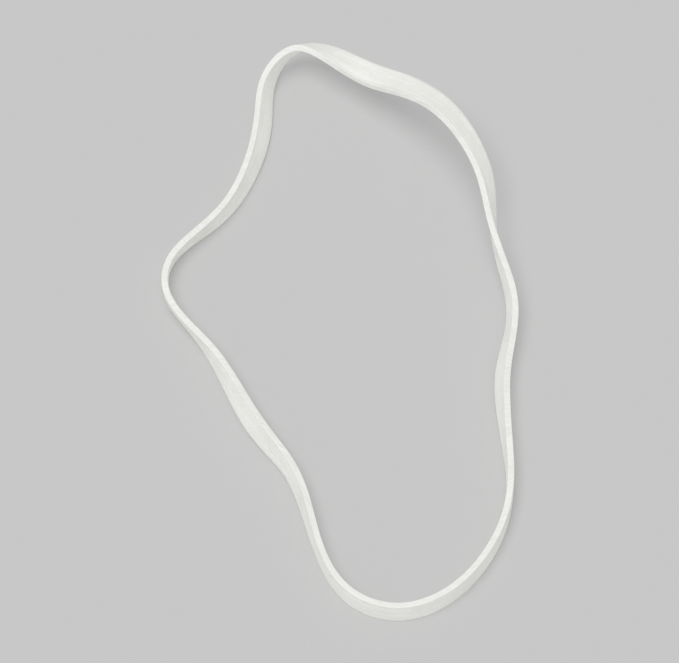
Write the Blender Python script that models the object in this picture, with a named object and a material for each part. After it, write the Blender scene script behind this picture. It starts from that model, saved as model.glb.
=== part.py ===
"""A flat rubber band, lying open on a table.

The band is one closed strip of natural rubber. It was sliced off a long round tube, so it has no join,
its outer and inner faces are wide and plain, and its two cut edges are narrow and square. Off its tube it
is limp: it stands on a cut edge where it turns, and leans over or arches up where it runs straight.
Metres, +Z up, +X to the right and +Y away from the viewer. The origin is on the table, under the middle
of the space that the band covers.
"""
import math

import bpy
import numpy as np

MM = 0.001

# Driving dimensions of the band as it is sold
FLAT_LENGTH = 88.9 * MM      # pressed flat, from fold to fold: half of the way round
CUT_WIDTH = 3.2 * MM         # width of the outer and inner faces, one slice of the tube
WALL = 0.8 * MM              # thickness of the rubber, the wall of the tube
EDGE_ROUNDING = 0.08 * MM    # soft corner that the knife leaves

# Fineness of the solid
SECTIONS = 360               # sections along the way round
CORNER_STEPS = 2             # facets in each rounded corner
SPAN_SAMPLES = 40            # points read from the smooth curve between two rows of the route

# How it lies. The rows steer a smooth closed curve, counterclockwise from above: right and away from the
# middle of the loop, the lift of the lowest edge above the table, all in millimetres, and the lean in
# degrees. At 0 the strip stands on its cut edge, at 90 its outer face looks up, at -90 its inner face.
ROUTE = (
    # Right side, leaning out a little so that its inner face shows
    (18.8, -16.4, 0.04, -7.0),
    (18.3, -9.7, 0.04, -22.0),
    (18.8, -6.3, 0.11, -23.0),
    (20.0, -1.3, 1.02, -13.0),
    (19.3, 2.7, 1.95, -4.0),
    # Arch over the far right corner, outer face up
    (17.2, 8.5, 3.66, 6.0),
    (17.2, 14.3, 6.67, 38.0),
    (13.0, 21.3, 8.94, 59.0),
    (8.8, 25.0, 7.99, 73.0),
    (5.7, 27.4, 6.19, 86.0),
    (2.7, 29.5, 4.48, 82.0),
    # Tight turn at the far end, coming down to the table
    (-4.6, 35.0, 3.65, 38.0),
    (-8.7, 30.7, 0.15, -18.0),
    # Far left side, leaning out so that its inner face shows
    (-8.4, 25.6, 0.09, -30.0),
    (-9.6, 19.2, 0.03, -19.0),
    (-12.6, 12.8, 0.07, -2.0),
    # Elbow on the left
    (-16.9, 9.3, 0.03, 12.0),
    (-19.7, 6.1, 0.04, 10.0),
    (-19.8, 1.7, 0.0, -8.0),
    (-16.8, -2.2, 0.01, -18.0),
    # Near left side, leaning in so that its outer face shows
    (-13.4, -6.6, 0.03, 8.0),
    (-10.1, -14.1, 0.05, 25.0),
    (-6.8, -18.4, 0.03, 11.0),
    (-5.3, -20.5, 0.01, 9.0),
    (-3.7, -24.3, 0.02, 10.0),
    # Round bend at the near end, standing on its cut edge
    (-2.1, -31.6, 0.02, 0.0),
    (0.8, -36.9, 0.0, 0.0),
    (6.6, -39.2, 0.0, 0.0),
    (12.4, -36.8, 0.0, 0.0),
    (16.3, -32.3, 0.0, 0.0),
    (18.7, -27.2, 0.0, 0.0),
    (19.4, -21.9, 0.01, 0.0),
)


def empty_scene():
    """Take every object out of the scene, so that only the band is in it."""
    for thing in list(bpy.data.objects):
        bpy.data.objects.remove(thing, do_unlink=True)


def guide_rows(size):
    """Guide rows in metres for a loop of the given relative size, with the lean in radians.

    The lift becomes the height of the strip's middle: a strip that leans by an angle is half its width
    times the cosine plus half its wall times the sine above its lowest corner.
    """
    rows = np.array(ROUTE)
    lean = np.radians(rows[:, 3])
    half_height = CUT_WIDTH / 2 * np.abs(np.cos(lean)) + WALL / 2 * np.abs(np.sin(lean))
    rows[:, :3] *= MM * size
    rows[:, 2] += half_height
    rows[:, 3] = lean
    return rows


def smooth_loop(rows):
    """Closed cubic B-spline: each point is a weighted mean of four rows that follow each other."""
    u = (np.arange(SPAN_SAMPLES) / SPAN_SAMPLES)[:, None]
    weights = ((1 - u) ** 3, 3 * u**3 - 6 * u**2 + 4, -3 * u**3 + 3 * u**2 + 3 * u + 1, u**3)
    count = len(rows)
    spans = []
    for first in range(count):
        spans.append(sum(w * rows[(first + k) % count] for k, w in enumerate(weights)) / 6)
    return np.concatenate(spans)


def distance_along(points):
    """Distance from the first point to each point of a closed line, and last the whole way round."""
    closed = np.vstack([points, points[:1]])
    steps = np.linalg.norm(np.diff(closed[:, :3], axis=0), axis=1)
    return np.concatenate([[0.0], np.cumsum(steps)])


def band_line():
    """The middle line and lean at evenly spaced sections, once round being twice the flat length."""
    way_round = 2 * FLAT_LENGTH
    size = 1.0
    for _ in range(8):
        points = smooth_loop(guide_rows(size))
        size *= way_round / distance_along(points)[-1]
    points = smooth_loop(guide_rows(size))
    along = distance_along(points)
    stations = np.arange(SECTIONS) * along[-1] / SECTIONS
    closed = np.vstack([points, points[:1]])
    even = np.stack([np.interp(stations, along, column) for column in closed.T], axis=1)
    return even[:, :3], even[:, 3]


def section_outline():
    """Counterclockwise corners of the cut section, as across and outward distances from its middle."""
    rounding = min(EDGE_ROUNDING, 0.45 * WALL, 0.45 * CUT_WIDTH)
    half_width = CUT_WIDTH / 2 - rounding
    half_wall = WALL / 2 - rounding
    outline = []
    for quarter, (across, outward) in enumerate(((1, 1), (-1, 1), (-1, -1), (1, -1))):
        for step in range(CORNER_STEPS + 1):
            angle = math.pi / 2 * (quarter + step / CORNER_STEPS)
            outline.append((across * half_width + rounding * math.cos(angle),
                            outward * half_wall + rounding * math.sin(angle)))
    return np.array(outline)


def section_axes(middle, lean):
    """Unit vectors of every section: across the strip, and outward through its wall."""
    travel = np.roll(middle, -1, axis=0) - np.roll(middle, 1, axis=0)
    travel /= np.linalg.norm(travel, axis=1)[:, None]
    level = np.cross(travel, (0.0, 0.0, 1.0))
    level /= np.linalg.norm(level, axis=1)[:, None]
    upright = np.cross(level, travel)
    cos_lean = np.cos(lean)[:, None]
    sin_lean = np.sin(lean)[:, None]
    across = cos_lean * upright - sin_lean * level
    outward = cos_lean * level + sin_lean * upright
    return across, outward


def band_mesh():
    """Carry the section once round the middle line and close it on itself."""
    middle, lean = band_line()
    across, outward = section_axes(middle, lean)
    outline = section_outline()
    corners = (middle[:, None, :]
               + outline[None, :, :1] * across[:, None, :]
               + outline[None, :, 1:] * outward[:, None, :])
    low = corners.min(axis=(0, 1))
    high = corners.max(axis=(0, 1))
    corners -= ((low[0] + high[0]) / 2, (low[1] + high[1]) / 2, low[2])
    ring = len(outline)
    faces = []
    for section in range(SECTIONS):
        here = section * ring
        there = (section + 1) % SECTIONS * ring
        for corner in range(ring):
            beside = (corner + 1) % ring
            faces.append((here + corner, here + beside, there + beside, there + corner))
    mesh = bpy.data.meshes.new("rubber_band")
    mesh.from_pydata(corners.reshape(-1, 3).tolist(), [], faces)
    mesh.update()
    mesh.shade_smooth()
    mesh.set_sharp_from_angle(angle=math.radians(40))
    return mesh


def white_rubber():
    """Matt off-white natural rubber."""
    material = bpy.data.materials.new("white_rubber")
    material.use_nodes = True
    shader = material.node_tree.nodes["Principled BSDF"]
    shader.inputs["Base Color"].default_value = (0.84, 0.84, 0.80, 1.0)
    shader.inputs["Roughness"].default_value = 0.62
    shader.inputs["Metallic"].default_value = 0.0
    return material


empty_scene()
band = bpy.data.objects.new("rubber_band", band_mesh())
band.data.materials.append(white_rubber())
bpy.context.scene.collection.objects.link(band)
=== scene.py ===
"""A flat rubber band of matt off-white rubber, lying open on a pale grey table.

Metres, +Z up, the table at z = 0. The band is one closed strip, so it is one piece: the strip itself, with
the skin of the tube on its two wide faces and the knife's cut on its two narrow edges. After it come the
table, the light and the camera.
"""
import math

import bpy
import numpy as np
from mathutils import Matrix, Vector


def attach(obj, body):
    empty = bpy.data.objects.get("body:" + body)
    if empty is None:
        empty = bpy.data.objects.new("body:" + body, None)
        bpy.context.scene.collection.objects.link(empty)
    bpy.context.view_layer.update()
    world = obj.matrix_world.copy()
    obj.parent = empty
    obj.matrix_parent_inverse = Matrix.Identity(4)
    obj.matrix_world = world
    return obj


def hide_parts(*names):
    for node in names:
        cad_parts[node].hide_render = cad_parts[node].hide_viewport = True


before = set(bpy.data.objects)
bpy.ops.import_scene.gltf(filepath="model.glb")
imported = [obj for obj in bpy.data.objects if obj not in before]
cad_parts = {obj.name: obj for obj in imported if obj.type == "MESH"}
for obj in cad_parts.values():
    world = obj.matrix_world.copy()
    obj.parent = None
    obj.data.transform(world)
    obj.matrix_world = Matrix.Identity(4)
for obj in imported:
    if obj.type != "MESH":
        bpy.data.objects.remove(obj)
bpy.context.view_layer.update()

# The band: one ring of white-filled natural rubber, sliced off a long cured tube and never joined.
# 3.2 mm wide and 0.8 mm thick, it lies open, on edge at its bends and arched over the far right corner.
# The wide faces keep the tube's matt skin, the narrow edges show the knife's path, and powder clings to both.

MM = 0.001
FLAT_LENGTH = 88.9 * MM
CUT_WIDTH = 3.2 * MM
WALL = 0.8 * MM
EDGE_ROUNDING = 0.08 * MM
RELAXED_RADIUS = FLAT_LENGTH / math.pi

# What the tube and the knife take off the true section, at most. The furrows' turn is in radians from the
# middle of a face to its edge, and their shift moves those of the two faces in opposite ways.
WALL_THINNING = 0.020 * MM
FURROW_DEPTH = 0.012 * MM
FURROW_TURN = 7.5
FURROW_SHIFT = 1.7
PINCH_DEPTH = 0.030 * MM
PINCH_REACH = 0.22 * MM
CUT_WANDER = 0.045 * MM
CUT_SLANT = 0.020 * MM
CUT_DISH = 0.010 * MM
CUT_SHORTFALL = 0.010 * MM

# Fineness: points read from the curve between two rows of the route, and sections once round the band.
SPAN_SAMPLES = 160
STATIONS = 2200

# How the strip lies: right and away from the middle, lift of the lowest edge above the table, all in mm, and
# the lean in degrees (0 on its cut edge, 90 with the outer face up, -90 with the inner face up).
RESTING_ROUTE = np.array((
    # Right side, leaning out a little so that its inner face shows
    (18.8, -16.4, 0.04, -7.0),
    (18.3, -9.7, 0.04, -22.0),
    (18.8, -6.3, 0.11, -23.0),
    (20.0, -1.3, 1.02, -13.0),
    (19.3, 2.7, 1.95, -4.0),
    # Arch over the far right corner, outer face up
    (17.2, 8.5, 3.66, 6.0),
    (17.2, 14.3, 6.67, 38.0),
    (13.0, 21.3, 8.94, 59.0),
    (8.8, 25.0, 7.99, 73.0),
    (5.7, 27.4, 6.19, 86.0),
    (2.7, 29.5, 4.48, 82.0),
    # Tight turn at the far end, coming down to the table
    (-4.6, 35.0, 3.65, 38.0),
    (-8.7, 30.7, 0.15, -18.0),
    # Far left side, leaning out so that its inner face shows
    (-8.4, 25.6, 0.09, -30.0),
    (-9.6, 19.2, 0.03, -19.0),
    (-12.6, 12.8, 0.07, -2.0),
    # Elbow on the left
    (-16.9, 9.3, 0.03, 12.0),
    (-19.7, 6.1, 0.04, 10.0),
    (-19.8, 1.7, 0.0, -8.0),
    (-16.8, -2.2, 0.01, -18.0),
    # Near left side, leaning in so that its outer face shows
    (-13.4, -6.6, 0.03, 8.0),
    (-10.1, -14.1, 0.05, 25.0),
    (-6.8, -18.4, 0.03, 11.0),
    (-5.3, -20.5, 0.01, 9.0),
    (-3.7, -24.3, 0.02, 10.0),
    # Round bend at the near end, standing on its cut edge
    (-2.1, -31.6, 0.02, 0.0),
    (0.8, -36.9, 0.0, 0.0),
    (6.6, -39.2, 0.0, 0.0),
    (12.4, -36.8, 0.0, 0.0),
    (16.3, -32.3, 0.0, 0.0),
    (18.7, -27.2, 0.0, 0.0),
    (19.4, -21.9, 0.01, 0.0),
))


def height_of_middle(lean):
    """Height of the strip's middle above its lowest corner: half the width times the cosine of the lean plus
    half the wall times its sine."""
    return CUT_WIDTH / 2 * np.abs(np.cos(lean)) + WALL / 2 * np.abs(np.sin(lean))


def route_points(size):
    """Closed cubic B-spline steered by the route at a relative size: in each span, points that are each a
    weighted mean of four rows that follow each other. Columns are x, y, z of the middle, and the lean in
    radians."""
    rows = RESTING_ROUTE.copy()
    rows[:, 3] = np.radians(rows[:, 3])
    rows[:, :3] *= MM * size
    rows[:, 2] += height_of_middle(rows[:, 3])
    u = np.arange(SPAN_SAMPLES) / SPAN_SAMPLES
    weights = np.stack(((1 - u) ** 3, 3 * u**3 - 6 * u**2 + 4, -3 * u**3 + 3 * u**2 + 3 * u + 1, u**3)) / 6
    followers = np.stack([np.roll(rows, -step, axis=0) for step in range(4)])
    return np.einsum("kn,krc->rnc", weights, followers).reshape(-1, 4)


def distance_along(points):
    """Running distance from the first point to each point of a closed line, and last the way round."""
    closed = np.vstack((points, points[:1]))
    steps = np.linalg.norm(np.diff(closed[:, :3], axis=0), axis=1)
    return np.concatenate(((0.0,), np.cumsum(steps)))


def resting_line(stations):
    """The strip's middle line and lean at evenly spaced stations. A few rounds settle the route's size, so
    that once round is twice the flat length."""
    size = 1.0
    for _ in range(6):
        size *= 2 * FLAT_LENGTH / distance_along(route_points(size))[-1]
    points = route_points(size)
    along = distance_along(points)
    closed = np.vstack((points, points[:1]))
    places = np.arange(stations) * along[-1] / stations
    even = np.stack([np.interp(places, along, column) for column in closed.T], axis=1)
    return even[:, :3], even[:, 3]


def strip_axes(middle, lean):
    """Unit vectors at each station: across the strip, and outward through its wall. Level is the travel
    crossed with straight up, and the lean turns it and the upright about the travel."""
    travel = np.roll(middle, -1, axis=0) - np.roll(middle, 1, axis=0)
    travel /= np.linalg.norm(travel, axis=1)[:, None]
    level = np.cross(travel, (0.0, 0.0, 1.0))
    level /= np.linalg.norm(level, axis=1)[:, None]
    upright = np.cross(level, travel)
    cosine = np.cos(lean)[:, None]
    sine = np.sin(lean)[:, None]
    return cosine * upright - sine * level, cosine * level + sine * upright


def cut_section(face_points, edge_points, corner_steps):
    """The strip's section, counterclockwise, as across and outward distances from its middle: a rectangle
    with quarter-circle corners, and points on its sides that crowd towards the corners as a sine does."""
    half_width = CUT_WIDTH / 2 - EDGE_ROUNDING
    half_wall = WALL / 2 - EDGE_ROUNDING
    turn = np.linspace(0.0, math.pi / 2, corner_steps + 1)
    on_face = half_width * np.sin(np.linspace(-math.pi / 2, math.pi / 2, face_points + 2)[1:-1])
    on_edge = half_wall * np.sin(np.linspace(-math.pi / 2, math.pi / 2, edge_points + 2)[1:-1])
    sides = []
    for quarter, (across, outward) in enumerate(((1, 1), (-1, 1), (-1, -1), (1, -1))):
        angle = turn + quarter * math.pi / 2
        sides.append(np.stack((across * half_width + EDGE_ROUNDING * np.cos(angle),
                               outward * half_wall + EDGE_ROUNDING * np.sin(angle)), axis=1))
        if quarter % 2 == 0:
            side = np.stack((-outward * on_face, np.full(face_points, outward * WALL / 2)), axis=1)
        else:
            side = np.stack((np.full(edge_points, across * CUT_WIDTH / 2), across * on_edge), axis=1)
        sides.append(side)
    return np.concatenate(sides)


def ripple(turn, harmonics, seed):
    """A wave that closes on itself once round: a sum of whole-number harmonics of the turn, each with its own
    seeded phase and strength, scaled to lie between 0 and 1. It is one column, for use on the grid."""
    chance = np.random.default_rng(seed)
    numbers = np.asarray(harmonics)
    phases = chance.uniform(0.0, 2 * math.pi, len(numbers))
    strengths = chance.uniform(0.5, 1.0, len(numbers)) / np.sqrt(numbers)
    wave = np.cos(turn[:, None] * numbers + phases) @ strengths
    return ((wave - wave.min()) / (wave.max() - wave.min()))[:, None]


def strip_surface(stations):
    """The strip's surface as a grid, stations round by points of the section: middle line + across times the
    across axis + outward times the outward axis.

    The true rectangle is only ever cut back. The tube's wall is a little thinner on one side of the ring and
    in broad faint furrows along the strip, the knife pinches the faces near the cut edges, and the upper cut
    wanders by a few hundredths of a millimetre, slants a little and is slightly dished."""
    turn = np.arange(stations) * 2 * math.pi / stations
    section = cut_section(face_points=10, edge_points=3, corner_steps=3)
    across, outward = section[None, :, 0], section[None, :, 1]
    place = across / (CUT_WIDTH / 2)
    side = outward / (WALL / 2)

    thinning = WALL_THINNING * ripple(turn, harmonics=(1, 2, 3), seed=11)
    furrow_drift = 2 * math.pi * ripple(turn, harmonics=(1, 2, 4, 7), seed=12)
    furrow_phase = FURROW_TURN * place + furrow_drift + FURROW_SHIFT * np.sign(side)
    furrows = FURROW_DEPTH / 2 * (1 + np.cos(furrow_phase))
    from_cut = (1 - np.abs(place)) * CUT_WIDTH / 2
    pinch = PINCH_DEPTH * np.exp(-(from_cut / PINCH_REACH) ** 2)
    shaped_outward = outward - side * (thinning + furrows + pinch)

    wander = CUT_WANDER * ripple(turn, harmonics=(2, 5, 9, 14, 23, 37, 58), seed=13)
    slant = CUT_SLANT * (ripple(turn, harmonics=(1, 3, 4), seed=14) - 0.5)
    dish = CUT_DISH * (1 - side**2)
    shaped_across = across - (wander + slant * side + CUT_SHORTFALL + dish) * (1 + place) / 2

    middle, lean = resting_line(stations)
    across_axis, outward_axis = strip_axes(middle, lean)
    true_surface = (middle[:, None] + across[..., None] * across_axis[:, None]
                    + outward[..., None] * outward_axis[:, None])
    surface = (middle[:, None] + shaped_across[..., None] * across_axis[:, None]
               + shaped_outward[..., None] * outward_axis[:, None])
    low, high = true_surface.min(axis=(0, 1)), true_surface.max(axis=(0, 1))
    surface -= ((low[0] + high[0]) / 2, (low[1] + high[1]) / 2, low[2])
    return surface, section, turn


def strip_mesh():
    """Quads between neighbouring stations and section points, closed both ways.

    Each point also keeps its place on the round ring that the band was cut as, so that a pattern runs round
    it without a seam, and its place in the section: across and outward as shares, and the distance in
    millimetres from the nearer cut. The first material is for the wide faces, the second for the cuts and
    two of the three facets of each rounded corner."""
    surface, section, turn = strip_surface(STATIONS)
    stations, points = surface.shape[:2]
    here = np.arange(stations)[:, None] * points
    there = np.roll(here, -1, axis=0)
    corner = np.arange(points)[None, :]
    beside = np.roll(corner, -1, axis=1)
    quads = np.stack((here + corner, here + beside, there + beside, there + corner), axis=-1).reshape(-1, 4)

    mesh = bpy.data.meshes.new("band_strip")
    mesh.vertices.add(stations * points)
    mesh.vertices.foreach_set("co", surface.ravel())
    mesh.loops.add(quads.size)
    mesh.loops.foreach_set("vertex_index", quads.ravel())
    mesh.polygons.add(len(quads))
    mesh.polygons.foreach_set("loop_start", np.arange(0, quads.size, 4))
    mesh.update(calc_edges=True)
    mesh.shade_smooth()

    radius = RELAXED_RADIUS + section[None, :, 1]
    relaxed = np.stack(np.broadcast_arrays(radius * np.cos(turn)[:, None], radius * np.sin(turn)[:, None],
                                           section[None, :, 0]), axis=-1)
    ring = mesh.attributes.new("ring", "FLOAT_VECTOR", "POINT")
    ring.data.foreach_set("vector", relaxed.ravel())
    share = section / (CUT_WIDTH / 2, WALL / 2)
    from_cut = (1 - np.abs(share[:, 0])) * CUT_WIDTH / 2 / MM
    profile = np.stack((share[:, 0], share[:, 1], from_cut), axis=1)
    shape = mesh.attributes.new("section", "FLOAT_VECTOR", "POINT")
    shape.data.foreach_set("vector", np.tile(profile, (stations, 1)).ravel())

    edges = np.roll(section, -1, axis=0) - section
    is_cut = np.abs(edges[:, 1]) >= np.abs(edges[:, 0]) * 0.999
    mesh.polygons.foreach_set("material_index", np.tile(is_cut.astype(np.int32), stations))
    return mesh


def add_node(tree, kind, inputs=None, **settings):
    """One node of a material, with its settings, and a value or a link for each named or numbered input."""
    node = tree.nodes.new(kind)
    for name, value in settings.items():
        setattr(node, name, value)
    for name, value in (inputs or {}).items():
        socket = node.inputs[name]
        if isinstance(value, bpy.types.NodeSocket):
            tree.links.new(value, socket)
        else:
            socket.default_value = value
    return node


def worked(tree, operation, *values, **settings):
    """The result of one sum on two or three values."""
    sum_node = add_node(tree, "ShaderNodeMath", dict(enumerate(values)), operation=operation, **settings)
    return sum_node.outputs[0]


def spread(tree, value, span, to):
    """A value stretched from one span to another and held inside it."""
    return add_node(tree, "ShaderNodeMapRange", {"Value": value, "From Min": span[0], "From Max": span[1],
                                                 "To Min": to[0], "To Max": to[1]}).outputs[0]


def tinted(tree, base, share, other):
    """The base colour turned towards another by a share that changes over the surface. The Mix node keeps its
    colour inputs at places 6 and 7, and its colour result at place 2."""
    return add_node(tree, "ShaderNodeMix", {0: share, 6: base, 7: other}, data_type="RGBA").outputs[2]


def noise(tree, vector, scale, detail, roughness):
    """Noise from 0 to 1. The scale counts its cells in a metre, so 4200 gives a grain of about 0.24 mm."""
    return add_node(tree, "ShaderNodeTexNoise", {"Vector": vector, "Scale": scale, "Detail": detail,
                                                 "Roughness": roughness}).outputs[0]


def random_cells(tree, vector, scale, share_drawn, largest):
    """Random cells with so many to the metre: the distance from each cell's middle, and a size for a spot
    there. Only cells that draw a number above the share get a spot, larger for a higher number."""
    cells = add_node(tree, "ShaderNodeTexVoronoi", {"Vector": vector, "Scale": scale, "Randomness": 1.0})
    draw = add_node(tree, "ShaderNodeSeparateXYZ", {0: cells.outputs["Color"]})
    return cells.outputs["Distance"], spread(tree, draw.outputs["X"], (share_drawn, 1.0), to=(0.0, largest))


def new_group(name, inputs, outputs):
    """An empty shader node group, with a kind for each named input and plain numbers for outputs. Returned
    with the nodes that stand for its inputs and outputs."""
    group = bpy.data.node_groups.new(name, "ShaderNodeTree")
    for title, kind in inputs.items():
        group.interface.new_socket(title, in_out="INPUT", socket_type=kind)
    for title in outputs:
        group.interface.new_socket(title, in_out="OUTPUT", socket_type="NodeSocketFloat")
    return group, group.nodes.new("NodeGroupInput"), group.nodes.new("NodeGroupOutput")


def matt_grain_group():
    """Fine uneven matt grain of cured rubber: three sizes of noise on the ring, as a height for the bump, a
    tone round 0.5 for the colour, and a dullness that moves the roughness. Here and there a bubble in the
    rubber opens as a pinhole: the middle of a random cell, larger where the cell draws a high number."""
    asked = {"Ring": "NodeSocketVector", "Fineness": "NodeSocketFloat"}
    group, entry, leave = new_group("matt_grain", asked, ("Height", "Tone", "Dullness", "Pinhole"))
    sized = add_node(group, "ShaderNodeVectorMath", {0: entry.outputs["Ring"],
                                                     "Scale": entry.outputs["Fineness"]},
                     operation="SCALE").outputs[0]
    fine = noise(group, sized, scale=4200.0, detail=3.0, roughness=0.62)
    broad = noise(group, sized, scale=900.0, detail=2.0, roughness=0.5)
    cloud = noise(group, sized, scale=190.0, detail=3.0, roughness=0.55)
    bubble_distance, bubble_size = random_cells(group, sized, scale=1500.0, share_drawn=0.65, largest=0.20)
    opened = worked(group, "SUBTRACT", bubble_size, bubble_distance)
    pinhole = worked(group, "MULTIPLY", opened, 8.0, use_clamp=True)
    grain_height = worked(group, "MULTIPLY", worked(group, "ADD", fine, broad), 0.5)
    pitted = worked(group, "MULTIPLY_ADD", pinhole, -0.7, grain_height)
    tone = worked(group, "MULTIPLY", worked(group, "ADD", cloud, broad), 0.5)
    group.links.new(pitted, leave.inputs["Height"])
    group.links.new(tone, leave.inputs["Tone"])
    group.links.new(cloud, leave.inputs["Dullness"])
    group.links.new(pinhole, leave.inputs["Pinhole"])
    return group


def dusting_powder_group():
    """Powder left from the tube's dusting, as a mask from 0 to 1: soft patches broken up by fine noise, more
    of them for a higher cover, and a few larger crumbs at the middles of random cells."""
    asked = {"Ring": "NodeSocketVector", "Cover": "NodeSocketFloat"}
    group, entry, leave = new_group("dusting_powder", asked, ("Powder",))
    ring = entry.outputs["Ring"]
    patch = noise(group, ring, scale=330.0, detail=4.0, roughness=0.6)
    grains = noise(group, ring, scale=5200.0, detail=2.0, roughness=0.7)
    level = worked(group, "ADD", worked(group, "ADD", patch, grains), entry.outputs["Cover"])
    film = spread(group, level, (1.35, 1.75), to=(0.0, 1.0))
    crumb_distance, crumb_size = random_cells(group, ring, scale=1900.0, share_drawn=0.80, largest=0.24)
    crumb = worked(group, "LESS_THAN", crumb_distance, crumb_size)
    group.links.new(worked(group, "MAXIMUM", film, crumb), leave.inputs["Powder"])
    return group


MATT_GRAIN = matt_grain_group()
DUSTING_POWDER = dusting_powder_group()

# Colours of the tube's skin: a dark and a pale streak, the clouds, the corner at each cut, rubbed and with a
# painted highlight, a line of painted shade in the groove where the knife pressed the skin down, the powder,
# and painted shade in the pinholes.
SKIN_DARK = (0.815, 0.817, 0.778, 1.0)
SKIN_PALE = (0.906, 0.907, 0.881, 1.0)
SKIN_CLOUD = (0.765, 0.768, 0.721, 1.0)
SKIN_RUBBED_HIGHLIGHT = (0.900, 0.900, 0.878, 1.0)
SKIN_PINCH_SHADE = (0.670, 0.670, 0.620, 1.0)
SKIN_POWDER = (0.916, 0.916, 0.906, 1.0)
SKIN_PINHOLE_SHADE = (0.600, 0.597, 0.545, 1.0)

# Colours of the knife's cut: a dark and a pale line of the blade, the clouds, the powder, and painted shade
# in the pinholes.
CUT_DARK = (0.778, 0.778, 0.742, 1.0)
CUT_PALE = (0.872, 0.872, 0.847, 1.0)
CUT_CLOUD = (0.745, 0.745, 0.705, 1.0)
CUT_POWDER = (0.888, 0.888, 0.876, 1.0)
CUT_PINHOLE_SHADE = (0.580, 0.577, 0.525, 1.0)

# How deep the grain, the streaks and the blade's lines are shaded.
SKIN_RELIEF = 0.060 * MM
CUT_RELIEF = 0.050 * MM


def rubber(name, gloss):
    """A material of white-filled rubber, which lets a little light in just under its surface. Returned with
    its nodes and its shader."""
    material = bpy.data.materials.new(name)
    material.use_nodes = True
    shader = material.node_tree.nodes["Principled BSDF"]
    shader.inputs["Subsurface Weight"].default_value = 0.2
    shader.inputs["Subsurface Radius"].default_value = (1.0, 0.95, 0.8)
    shader.inputs["Subsurface Scale"].default_value = 0.35 * MM
    shader.inputs["Specular IOR Level"].default_value = gloss
    return material, material.node_tree, shader


def grain_and_powder(tree, ring, fineness, cover):
    """The matt grain and the dusting powder, placed in a material with its own fineness and cover."""
    grain = add_node(tree, "ShaderNodeGroup", node_tree=MATT_GRAIN)
    powder = add_node(tree, "ShaderNodeGroup", node_tree=DUSTING_POWDER)
    tree.links.new(ring, grain.inputs["Ring"])
    tree.links.new(ring, powder.inputs["Ring"])
    grain.inputs["Fineness"].default_value = fineness
    powder.inputs["Cover"].default_value = cover
    return grain.outputs, powder.outputs["Powder"]


def tube_skin():
    """The wide faces: matt cured skin with faint streaks along the strip, fainter draw lines across it,
    clouds of powder and a few pale specks. The corner beside each cut is rubbed and painted pale as a
    highlight, and next to it runs a thin line of painted shade in the groove where the knife pressed the skin
    down. The pinholes are painted darker, as shade in them."""
    material, tree, shader = rubber("tube_skin", gloss=0.4)
    ring = add_node(tree, "ShaderNodeAttribute", attribute_name="ring").outputs["Vector"]
    section = add_node(tree, "ShaderNodeAttribute", attribute_name="section").outputs["Vector"]
    parts = add_node(tree, "ShaderNodeSeparateXYZ", {0: section}).outputs
    grain, powder = grain_and_powder(tree, ring, fineness=1.0, cover=0.42)

    along = add_node(tree, "ShaderNodeMapping", {"Vector": ring, "Scale": (0.05, 0.05, 1.0)})
    streaks = add_node(tree, "ShaderNodeTexNoise", {"Vector": along.outputs[0], "Scale": 2600.0,
                                                    "Detail": 3.0, "Roughness": 0.6}, noise_dimensions="4D")
    tree.links.new(parts["Y"], streaks.inputs["W"])
    drawn = add_node(tree, "ShaderNodeMapping", {"Vector": ring, "Scale": (1.0, 1.0, 0.08)})
    draw_lines = noise(tree, drawn.outputs[0], scale=2400.0, detail=2.0, roughness=0.5)

    streak_share = spread(tree, streaks.outputs[0], (0.34, 0.66), to=(0.0, 1.0))
    colour = tinted(tree, SKIN_DARK, streak_share, SKIN_PALE)
    cloud_share = spread(tree, grain["Tone"], (0.36, 0.62), to=(0.45, 0.0))
    colour = tinted(tree, colour, cloud_share, SKIN_CLOUD)
    # Painted highlight, partly wear of the rubbed corner: the skin is made paler within about a tenth of a
    # millimetre of each cut.
    rubbed_highlight_share = spread(tree, parts["Z"], (0.02, 0.12), to=(0.55, 0.0))
    colour = tinted(tree, colour, rubbed_highlight_share, SKIN_RUBBED_HIGHLIGHT)
    # Painted shade: a darker line in the knife's pinch groove, 0.07 to 0.36 mm from each cut, made uneven by
    # the grain.
    into_line = spread(tree, parts["Z"], (0.07, 0.13), to=(0.0, 1.0))
    out_of_line = spread(tree, parts["Z"], (0.14, 0.36), to=(1.0, 0.0))
    uneven = spread(tree, grain["Dullness"], (0.35, 0.65), to=(0.35, 0.80))
    pinch_shade_share = worked(tree, "MULTIPLY", worked(tree, "MULTIPLY", into_line, out_of_line), uneven)
    colour = tinted(tree, colour, pinch_shade_share, SKIN_PINCH_SHADE)
    powder_share = spread(tree, powder, (0.0, 1.0), to=(0.0, 0.6))
    colour = tinted(tree, colour, powder_share, SKIN_POWDER)
    # Painted shade: the pinholes are made darker, as shade in the pits.
    pinhole_shade_share = spread(tree, grain["Pinhole"], (0.0, 1.0), to=(0.0, 0.5))
    colour = tinted(tree, colour, pinhole_shade_share, SKIN_PINHOLE_SHADE)
    tree.links.new(colour, shader.inputs["Base Color"])

    dull = spread(tree, grain["Dullness"], (0.3, 0.7), to=(0.54, 0.66))
    tree.links.new(worked(tree, "MULTIPLY_ADD", powder_share, 0.18, dull), shader.inputs["Roughness"])

    streak_height = worked(tree, "MULTIPLY_ADD", streaks.outputs[0], 0.7, grain["Height"])
    height = worked(tree, "MULTIPLY_ADD", draw_lines, 0.35, streak_height)
    bump = add_node(tree, "ShaderNodeBump", {"Strength": 1.0, "Distance": SKIN_RELIEF, "Height": height})
    tree.links.new(bump.outputs[0], shader.inputs["Normal"])
    return material


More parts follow.
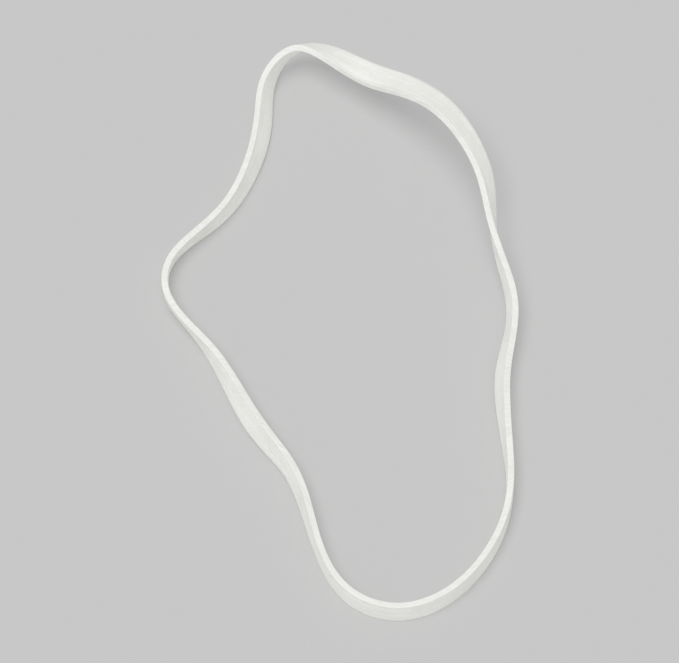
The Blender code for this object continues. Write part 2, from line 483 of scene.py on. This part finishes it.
def knife_cut():
    """The narrow edges: rougher and a touch less pale than the skin, with the fine parallel lines that the
    blade left on its straight way through the tube, so they run along the strip on two sides of the ring and
    across it on the other two."""
    material, tree, shader = rubber("knife_cut", gloss=0.35)
    ring = add_node(tree, "ShaderNodeAttribute", attribute_name="ring").outputs["Vector"]
    grain, powder = grain_and_powder(tree, ring, fineness=1.35, cover=0.34)

    blade = add_node(tree, "ShaderNodeMapping", {"Vector": ring, "Scale": (0.06, 1.0, 0.4)})
    lines = noise(tree, blade.outputs[0], scale=5200.0, detail=3.0, roughness=0.65)

    line_share = spread(tree, lines, (0.35, 0.65), to=(0.0, 1.0))
    colour = tinted(tree, CUT_DARK, line_share, CUT_PALE)
    cloud_share = spread(tree, grain["Tone"], (0.35, 0.65), to=(0.22, 0.0))
    colour = tinted(tree, colour, cloud_share, CUT_CLOUD)
    powder_share = spread(tree, powder, (0.0, 1.0), to=(0.0, 0.5))
    colour = tinted(tree, colour, powder_share, CUT_POWDER)
    # Painted shade: the pinholes are made darker, as shade in the pits.
    pinhole_shade_share = spread(tree, grain["Pinhole"], (0.0, 1.0), to=(0.0, 0.5))
    colour = tinted(tree, colour, pinhole_shade_share, CUT_PINHOLE_SHADE)
    tree.links.new(colour, shader.inputs["Base Color"])

    tree.links.new(spread(tree, lines, (0.3, 0.7), to=(0.82, 0.68)), shader.inputs["Roughness"])

    height = worked(tree, "MULTIPLY_ADD", lines, 1.2, grain["Height"])
    bump = add_node(tree, "ShaderNodeBump", {"Strength": 1.0, "Distance": CUT_RELIEF, "Height": height})
    tree.links.new(bump.outputs[0], shader.inputs["Normal"])
    return material


band = bpy.data.objects.new("band_strip", strip_mesh())
band.data.materials.append(tube_skin())
band.data.materials.append(knife_cut())
bpy.context.scene.collection.objects.link(band)
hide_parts("rubber_band")
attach(band, "root")

# The table: a plain pale grey sheet, wide enough that no view from the side reaches its end. It is darker
# than the band's shaded faces, so that they read as white, and most of its tone is lit, so that the band's
# soft shadow stays.

TABLE_REACH = 6.0
TABLE_LIT = 0.40
TABLE_GLOW = 0.155
TABLE_BOUNCE = 0.84


def grey(level):
    """A colour without hue, from 0 for black to 1 for white."""
    return level, level, level, 1.0


def seen_directly(tree):
    """1 for what the camera sees, by itself or in gloss or glass, and 0 for light on its way elsewhere."""
    path = add_node(tree, "ShaderNodeLightPath")
    direct = worked(tree, "MAXIMUM", path.outputs["Is Camera Ray"], path.outputs["Is Glossy Ray"])
    return worked(tree, "MAXIMUM", direct, path.outputs["Is Transmission Ray"])


def pale_table():
    """A matt sheet. Light on its way elsewhere bounces off it as off a nearly white sheet. The camera sees a
    diffuse part plus a glow, which add up to pale grey in full light."""
    material = bpy.data.materials.new("pale_table")
    material.use_nodes = True
    tree = material.node_tree
    tree.nodes.remove(tree.nodes["Principled BSDF"])
    lit = add_node(tree, "ShaderNodeBsdfDiffuse", {"Color": grey(TABLE_LIT)})
    glow = add_node(tree, "ShaderNodeEmission", {"Color": grey(1.0), "Strength": TABLE_GLOW})
    shown = add_node(tree, "ShaderNodeAddShader", {0: lit.outputs[0], 1: glow.outputs[0]})
    bounce = add_node(tree, "ShaderNodeBsdfDiffuse", {"Color": grey(TABLE_BOUNCE)})
    either = add_node(tree, "ShaderNodeMixShader", {0: seen_directly(tree), 1: bounce.outputs[0],
                                                    2: shown.outputs[0]})
    tree.links.new(either.outputs[0], tree.nodes["Material Output"].inputs["Surface"])
    return material


table_mesh = bpy.data.meshes.new("table")
table_mesh.from_pydata([(-TABLE_REACH, -TABLE_REACH, 0.0), (TABLE_REACH, -TABLE_REACH, 0.0),
                        (TABLE_REACH, TABLE_REACH, 0.0), (-TABLE_REACH, TABLE_REACH, 0.0)],
                       [], [(0, 1, 2, 3)])
table = bpy.data.objects.new("table", table_mesh)
table.data.materials.append(pale_table())
bpy.context.scene.collection.objects.link(table)

# The light: one broad soft lamp from the upper left and front, and an even pale room round it. Together they
# light an upward face at about 1, so that a colour renders as it is written. The camera sees the room in the
# table's tone, so that no horizon shows.

LAMP_SHARE = 0.47
ROOM_SHARE = 0.58
ROOM_SEEN = TABLE_LIT * (LAMP_SHARE + ROOM_SHARE) + TABLE_GLOW
LAMP_FROM = Vector((-0.15, -0.20, 0.968)).normalized()
LAMP_SOFTNESS = math.radians(36)

lamp = bpy.data.objects.new("soft_lamp", bpy.data.lights.new("soft_lamp", "SUN"))
lamp.data.angle = LAMP_SOFTNESS
lamp.data.energy = LAMP_SHARE * math.pi / LAMP_FROM.z
lamp.rotation_mode = "QUATERNION"
lamp.rotation_quaternion = LAMP_FROM.to_track_quat("Z", "Y")
bpy.context.scene.collection.objects.link(lamp)

room = bpy.data.worlds.new("pale_room")
room.use_nodes = True
bpy.context.scene.world = room
room_level = spread(room.node_tree, seen_directly(room.node_tree), (0.0, 1.0), to=(ROOM_SHARE, ROOM_SEEN))
room_light = room.node_tree.nodes["Background"]
room_light.inputs["Color"].default_value = grey(1.0)
room.node_tree.links.new(room_level, room_light.inputs["Strength"])
bpy.context.scene.view_settings.view_transform = "Standard"

# The camera: level with the loop's length, looking down on the table at 60 degrees through a long lens, as
# the band is seen in the photograph.

CAMERA_HEIGHT_ANGLE = math.radians(60)
CAMERA_DISTANCE = 0.64
LENS_MM = 300.0
SENSOR_MM = 36.0
LOOKS_AT = Vector((0.0, -0.0004, 0.0010))

camera = bpy.data.objects.new("camera", bpy.data.cameras.new("camera"))
camera.data.lens = LENS_MM
camera.data.sensor_width = SENSOR_MM
camera.data.clip_start = 0.01
camera.data.clip_end = 30.0
toward_camera = Vector((0.0, -math.cos(CAMERA_HEIGHT_ANGLE), math.sin(CAMERA_HEIGHT_ANGLE)))
camera.location = LOOKS_AT + toward_camera * CAMERA_DISTANCE
camera.rotation_mode = "QUATERNION"
camera.rotation_quaternion = toward_camera.to_track_quat("Z", "Y")
bpy.context.scene.collection.objects.link(camera)
bpy.context.scene.camera = camera
